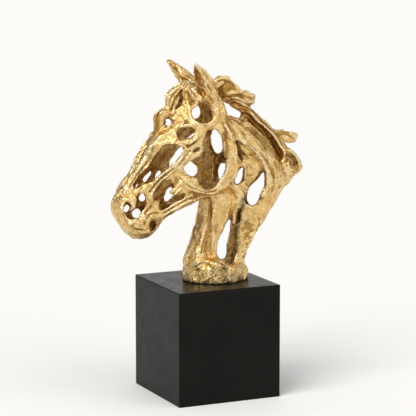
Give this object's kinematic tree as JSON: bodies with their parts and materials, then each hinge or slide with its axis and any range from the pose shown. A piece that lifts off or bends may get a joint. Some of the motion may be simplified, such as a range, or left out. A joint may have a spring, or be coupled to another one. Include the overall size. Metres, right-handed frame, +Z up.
{
  "type": "horse figurine",
  "caption": "Openwork gilt horse head and neck, cast in one, standing on a square black plinth; a table ornament.",
  "frame": {"origin": "middle of the plinth's underside", "axes": "+Z up from the plinth to the ears, -X where the horse's nose points, -Y the side that the picture shows, the horse's left"},
  "size_m": [0.264, 0.14, 0.4264],
  "materials": {
    "gilt_casting": "gold leaf over a hammered casting, with dark patina in the hollows",
    "black_paint": "matt to satin black paint"
  },
  "bodies": {
    "root": {"horse_head": "gilt_casting", "plinth": "black_paint"}
  },
  "joints": []
}
